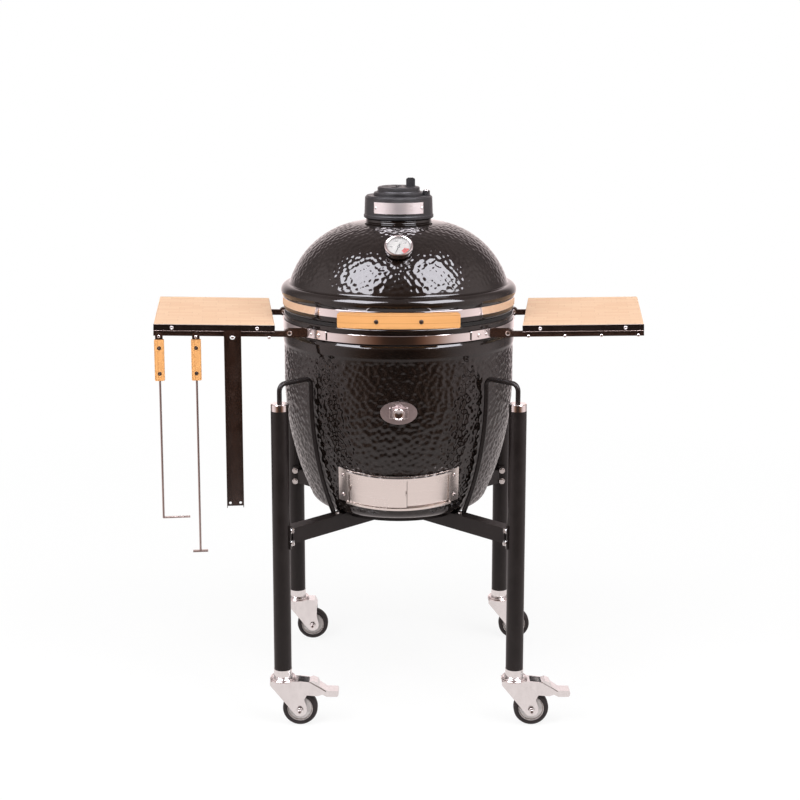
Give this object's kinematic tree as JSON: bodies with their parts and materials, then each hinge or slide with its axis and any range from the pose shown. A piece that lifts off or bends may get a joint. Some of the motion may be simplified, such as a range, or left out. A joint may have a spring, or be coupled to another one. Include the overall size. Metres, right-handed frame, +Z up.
{
  "type": "kamado ceramic grill",
  "caption": "Egg-shaped ceramic charcoal grill with hinged lid, daisy-wheel vent and draft door, on a caster cart with folding bamboo side shelves and hanging tools.",
  "frame": {"origin": "on the floor, on the upright axis of the ceramic bowl", "axes": "+Z up, -Y towards the cook at the front, +X to the cook's right"},
  "size_m": [1.189, 0.6629, 1.2373],
  "materials": {
    "black_glaze": "dimpled gloss glaze",
    "fire_clay": "raw fired clay",
    "felt": "dense felt",
    "stainless": "polished and brushed",
    "zinc": "bright zinc",
    "black_steel": "black powder coat",
    "brown_steel": "dark brown lacquer",
    "bamboo": "oiled bamboo",
    "cast_iron": "satin black",
    "caster_rubber": "grey black tyre",
    "dial_white": "printed dial",
    "needle_black": "matt",
    "dial_glass": "clear"
  },
  "bodies": {
    "base": {"base_bowl": "black_glaze", "base_band": "stainless", "base_gasket": "felt", "firebox": "fire_clay", "fire_ring": "fire_clay", "charcoal_grate": "cast_iron", "cross_frame": "black_steel", "cart_posts": "black_steel", "post_caps": "stainless", "caster_sockets": "zinc", "cradle_rods": "black_steel", "frame_bolts": "stainless", "draft_frame": "stainless", "shell_screws": "stainless", "port_plate": "stainless", "shelf_brackets": "brown_steel", "pivot_bolts": "stainless", "hinge_base": "stainless", "hinge_pin": "stainless", "hinge_springs": "stainless"},
    "lid": {"lid_dome": "black_glaze", "lid_band": "stainless", "lid_gasket": "felt", "handle_bar": "bamboo", "handle_brackets": "stainless", "handle_screws": "black_steel", "hinge_lid": "stainless", "thermo_case": "stainless", "thermo_dial": "dial_white", "thermo_lens": "dial_glass", "vent_collar": "cast_iron", "vent_plate": "stainless", "vent_pivot_screw": "stainless"},
    "grid": {"cooking_grid": "stainless"},
    "vent_cap": {"vent_cap": "cast_iron"},
    "vent_wheel": {"vent_wheel": "cast_iron"},
    "needle": {"thermo_needle": "needle_black"},
    "draft_left": {"draft_panel_left": "stainless"},
    "draft_right": {"draft_panel_right": "stainless"},
    "plug": {"port_plug": "stainless"},
    "left_shelf": {"left_shelf_board": "bamboo", "left_shelf_frame": "brown_steel"},
    "right_shelf": {"right_shelf_board": "bamboo", "right_shelf_frame": "brown_steel"},
    "poker": {"poker": "stainless", "poker_grip": "bamboo"},
    "pusher": {"pusher": "stainless", "pusher_grip": "bamboo"},
    "trough": {"chip_trough": "brown_steel"},
    "front_left_caster": {"front_left_fork": "zinc"},
    "front_left_roller": {"front_left_wheel": "caster_rubber"},
    "front_right_caster": {"front_right_fork": "zinc"},
    "front_right_roller": {"front_right_wheel": "caster_rubber"},
    "rear_left_caster": {"rear_left_fork": "zinc"},
    "rear_left_roller": {"rear_left_wheel": "caster_rubber"},
    "rear_right_caster": {"rear_right_fork": "zinc"},
    "rear_right_roller": {"rear_right_wheel": "caster_rubber"},
    "front_left_brake": {"front_left_pedal": "zinc"},
    "front_right_brake": {"front_right_pedal": "zinc"}
  },
  "joints": [
    {"name": "lid_hinge", "type": "hinge", "parent": "base", "child": "lid", "pos_m": [0, 0.3151, 0.9305], "axis": [-1, 0, 0], "range_deg": [0, 75], "stiffness_Nm_per_rad": 40, "springref_deg": 75, "deforming": ["hinge_springs"]},
    {"name": "grid_lift", "type": "slide", "parent": "base", "child": "grid", "axis": [0, 0, 1], "range_m": [0, 0.04]},
    {"name": "vent_cap_swing", "type": "hinge", "parent": "lid", "child": "vent_cap", "pos_m": [0.065, 0, 1.19685], "axis": [0, 0, -1], "range_deg": [0, 100]},
    {"name": "vent_wheel_turn", "type": "hinge", "parent": "vent_cap", "child": "vent_wheel", "pos_m": [0, 0, 1.20655], "axis": [0, 0, 1], "range_deg": [0, 36]},
    {"name": "needle_sweep", "type": "hinge", "parent": "lid", "child": "needle", "pos_m": [0, -0.19492, 1.08944], "axis": [0, 0.6428, -0.766], "range_deg": [0, 280], "stiffness_Nm_per_rad": 0.001},
    {"name": "draft_left_slide", "type": "hinge", "parent": "base", "child": "draft_left", "pos_m": [0, 0, 0.62221], "axis": [0, -0.3333, 0.9428], "range_deg": [0, 22]},
    {"name": "draft_right_slide", "type": "hinge", "parent": "base", "child": "draft_right", "pos_m": [0, 0, 0.62221], "axis": [0, 0.3333, -0.9428], "range_deg": [0, 25]},
    {"name": "plug_pull", "type": "slide", "parent": "base", "child": "plug", "axis": [0, -1, 0], "range_m": [0, 0.06]},
    {"name": "left_shelf_fold", "type": "hinge", "parent": "base", "child": "left_shelf", "pos_m": [-0.24743, -0.18515, 0.9015], "axis": [0.1149, -0.9934, 0], "range_deg": [0, 65]},
    {"name": "right_shelf_fold", "type": "hinge", "parent": "base", "child": "right_shelf", "pos_m": [0.24743, -0.18515, 0.9015], "axis": [0.1149, 0.9934, 0], "range_deg": [0, 80]},
    {"name": "poker_hang", "type": "hinge", "parent": "left_shelf", "child": "poker", "pos_m": [-0.53564, -0.22655, 0.90414], "axis": [0.1149, -0.9934, 0], "range_deg": [-65, 0]},
    {"name": "pusher_hang", "type": "hinge", "parent": "left_shelf", "child": "pusher", "pos_m": [-0.45472, -0.21718, 0.90158], "axis": [0.1149, -0.9934, 0], "range_deg": [-65, 0]},
    {"name": "trough_hang", "type": "hinge", "parent": "left_shelf", "child": "trough", "pos_m": [-0.3738, -0.20782, 0.89902], "axis": [0.1149, -0.9934, 0], "range_deg": [-65, 0]},
    {"name": "front_left_swivel", "type": "hinge", "parent": "base", "child": "front_left_caster", "pos_m": [-0.26552, -0.26552, 0.1155], "axis": [0, 0, 1], "continuous": true},
    {"name": "front_left_roll", "type": "hinge", "parent": "front_left_caster", "child": "front_left_roller", "pos_m": [-0.22652, -0.26552, 0.04], "axis": [0, 1, 0], "continuous": true},
    {"name": "front_right_swivel", "type": "hinge", "parent": "base", "child": "front_right_caster", "pos_m": [0.26552, -0.26552, 0.1155], "axis": [0, 0, 1], "continuous": true},
    {"name": "front_right_roll", "type": "hinge", "parent": "front_right_caster", "child": "front_right_roller", "pos_m": [0.30452, -0.26552, 0.04], "axis": [0, 1, 0], "continuous": true},
    {"name": "rear_left_swivel", "type": "hinge", "parent": "base", "child": "rear_left_caster", "pos_m": [-0.26552, 0.26552, 0.1155], "axis": [0, 0, 1], "continuous": true},
    {"name": "rear_left_roll", "type": "hinge", "parent": "rear_left_caster", "child": "rear_left_roller", "pos_m": [-0.22652, 0.26552, 0.04], "axis": [0, 1, 0], "continuous": true},
    {"name": "rear_right_swivel", "type": "hinge", "parent": "base", "child": "rear_right_caster", "pos_m": [0.26552, 0.26552, 0.1155], "axis": [0, 0, 1], "continuous": true},
    {"name": "rear_right_roll", "type": "hinge", "parent": "rear_right_caster", "child": "rear_right_roller", "pos_m": [0.30452, 0.26552, 0.04], "axis": [0, 1, 0], "continuous": true},
    {"name": "front_left_brake_press", "type": "hinge", "parent": "front_left_caster", "child": "front_left_brake", "pos_m": [-0.18252, -0.26552, 0.082], "axis": [0, 1, 0], "range_deg": [0, 12]},
    {"name": "front_right_brake_press", "type": "hinge", "parent": "front_right_caster", "child": "front_right_brake", "pos_m": [0.34852, -0.26552, 0.082], "axis": [0, 1, 0], "range_deg": [0, 12]}
  ],
  "couplings": [
    {"joint": "poker_hang", "follows": "left_shelf_fold", "ratio": -1},
    {"joint": "pusher_hang", "follows": "left_shelf_fold", "ratio": -1},
    {"joint": "trough_hang", "follows": "left_shelf_fold", "ratio": -1}
  ]
}
